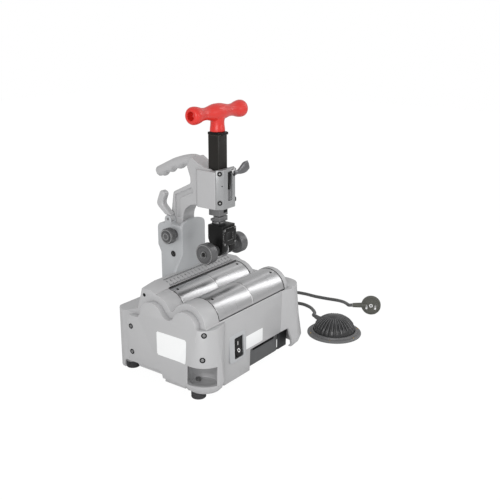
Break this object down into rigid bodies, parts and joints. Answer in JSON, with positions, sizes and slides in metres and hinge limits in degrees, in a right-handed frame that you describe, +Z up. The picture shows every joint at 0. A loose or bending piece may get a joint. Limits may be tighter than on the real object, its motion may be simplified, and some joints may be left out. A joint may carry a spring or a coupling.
{
  "type": "electric tube cutter",
  "caption": "Bench tube cutter: driven rollers in a cast base turn the tube under a cutter wheel on a swinging arm with a screw feed; mains lead and foot pedal.",
  "frame": {"origin": "underside of the base plate, on the cutting plane, midway between the two rollers; the floor is 14 mm lower", "axes": "+Z up, +X along the rollers away from the gear end, +Y from the switch side to the post"},
  "size_m": [0.5859, 0.308, 0.5037],
  "materials": {
    "casting": "light grey enamel on a casting",
    "shield": "grey enamel",
    "sheet": "dark grey sheet",
    "steel": "plain steel",
    "bright": "ground bright steel",
    "black": "black",
    "tube": "black enamel",
    "rubber": "matte black",
    "red": "semi-gloss red coat on a cast handle",
    "dark": "dark oxide",
    "brass": "plain"
  },
  "bodies": {
    "base": {"housing": "casting", "left_end_cover": "casting", "right_end_cover": "casting", "base_plate": "sheet", "inner_chassis": "sheet", "front_left_foot": "rubber", "front_right_foot": "rubber", "rear_left_foot": "rubber", "rear_right_foot": "rubber", "front_left_foot_bolt": "steel", "front_right_foot_bolt": "steel", "rear_left_foot_bolt": "steel", "rear_right_foot_bolt": "steel", "switch_frame": "black", "gear_motor": "dark", "motor_cradle": "sheet", "left_bearing_plate": "steel", "right_bearing_plate": "steel", "left_front_bearing": "bright", "right_front_bearing": "bright", "left_rear_bearing": "bright", "right_rear_bearing": "bright", "post": "casting", "arm_pivot_pin": "steel", "lever_pin": "steel", "mains_gland": "black", "pedal_gland": "black", "plug": "black", "plug_pin_1": "bright", "plug_pin_2": "bright", "mains_lead": "black", "pedal_base": "black", "pedal_relief": "black", "pedal_lead": "black"},
    "rocker": {"rocker": "black"},
    "front_roller": {"front_roller": "bright", "front_roller_gear": "steel"},
    "rear_roller": {"rear_roller": "bright", "rear_roller_gear": "steel"},
    "drive_pinion": {"drive_pinion": "steel"},
    "idler": {"idler_gear": "steel"},
    "motor_pinion": {"motor_pinion": "steel"},
    "knob": {"clamp_knob": "dark"},
    "lever": {"hold_down_lever": "casting"},
    "arm": {"arm": "casting", "guide_cover": "casting", "gib_strip": "brass"},
    "clamp_lever": {"clamp_lever": "dark"},
    "tube": {"feed_tube": "tube", "tube_collar": "tube"},
    "handle": {"t_handle": "red", "feed_screw": "steel"},
    "head": {"head_slide": "steel", "cutter_fork": "tube", "fork_plate": "tube", "cutter_axle": "steel"},
    "cutter_wheel": {"cutter_wheel": "bright"},
    "left_guide": {"left_guide_roller": "dark"},
    "right_guide": {"right_guide_roller": "dark"},
    "pedal": {"pedal_dome": "rubber"}
  },
  "joints": [
    {"name": "front_roller_spin", "type": "hinge", "parent": "base", "child": "front_roller", "pos_m": [0, -0.03885, 0.1275], "axis": [1, 0, 0], "continuous": true},
    {"name": "rear_roller_spin", "type": "hinge", "parent": "base", "child": "rear_roller", "pos_m": [0, 0.03885, 0.1275], "axis": [1, 0, 0], "continuous": true},
    {"name": "drive_pinion_spin", "type": "hinge", "parent": "base", "child": "drive_pinion", "pos_m": [-0.112, 0, 0.11027], "axis": [1, 0, 0], "continuous": true},
    {"name": "idler_spin", "type": "hinge", "parent": "base", "child": "idler", "pos_m": [-0.112, 0, 0.08402], "axis": [1, 0, 0], "continuous": true},
    {"name": "motor_spin", "type": "hinge", "parent": "base", "child": "motor_pinion", "pos_m": [-0.112, 0, 0.05777], "axis": [1, 0, 0], "continuous": true},
    {"name": "rocker_rock", "type": "hinge", "parent": "base", "child": "rocker", "pos_m": [-0.048, -0.07, 0.0635], "axis": [1, 0, 0], "range_deg": [0, 18]},
    {"name": "knob_turn", "type": "hinge", "parent": "base", "child": "knob", "pos_m": [-0.033, 0.083, 0.245], "axis": [1, 0, 0], "range_deg": [0, 720]},
    {"name": "lever_swing", "type": "hinge", "parent": "base", "child": "lever", "pos_m": [-0.026, 0.099, 0.271], "axis": [-1, 0, 0], "range_deg": [0, 35]},
    {"name": "arm_swing", "type": "hinge", "parent": "base", "child": "arm", "pos_m": [0, 0.0875, 0.205], "axis": [-1, 0, 0], "range_deg": [0, 28]},
    {"name": "clamp_lever_turn", "type": "hinge", "parent": "arm", "child": "clamp_lever", "pos_m": [0.013, -0.024, 0.361], "axis": [0, 1, 0], "range_deg": [0, 60]},
    {"name": "coarse_slide", "type": "slide", "parent": "arm", "child": "tube", "axis": [0, 0, 1], "range_m": [-0.022, 0.022]},
    {"name": "handle_turn", "type": "hinge", "parent": "tube", "child": "handle", "pos_m": [0, 0.004, 0.44], "axis": [0, 0, -1], "range_deg": [0, 2880]},
    {"name": "head_feed", "type": "slide", "parent": "tube", "child": "head", "axis": [0, 0, -1], "range_m": [0, 0.02]},
    {"name": "cutter_spin", "type": "hinge", "parent": "head", "child": "cutter_wheel", "pos_m": [0, -0.005, 0.226], "axis": [1, 0, 0], "continuous": true},
    {"name": "left_guide_spin", "type": "hinge", "parent": "head", "child": "left_guide", "pos_m": [-0.045, -0.005, 0.226], "axis": [1, 0, 0], "continuous": true},
    {"name": "right_guide_spin", "type": "hinge", "parent": "head", "child": "right_guide", "pos_m": [0.045, -0.005, 0.226], "axis": [1, 0, 0], "continuous": true},
    {"name": "pedal_press", "type": "slide", "parent": "base", "child": "pedal", "axis": [0, 0, -1], "range_m": [0, 0.005], "stiffness_N_per_m": 2500, "springref_m": -0.002}
  ],
  "couplings": [
    {"joint": "rear_roller_spin", "follows": "front_roller_spin", "ratio": 1},
    {"joint": "drive_pinion_spin", "follows": "front_roller_spin", "ratio": -2.4},
    {"joint": "idler_spin", "follows": "front_roller_spin", "ratio": 2.1818},
    {"joint": "motor_spin", "follows": "front_roller_spin", "ratio": -2.4},
    {"joint": "head_feed", "follows": "handle_turn", "m_per_rad": 0.000397}
  ]
}
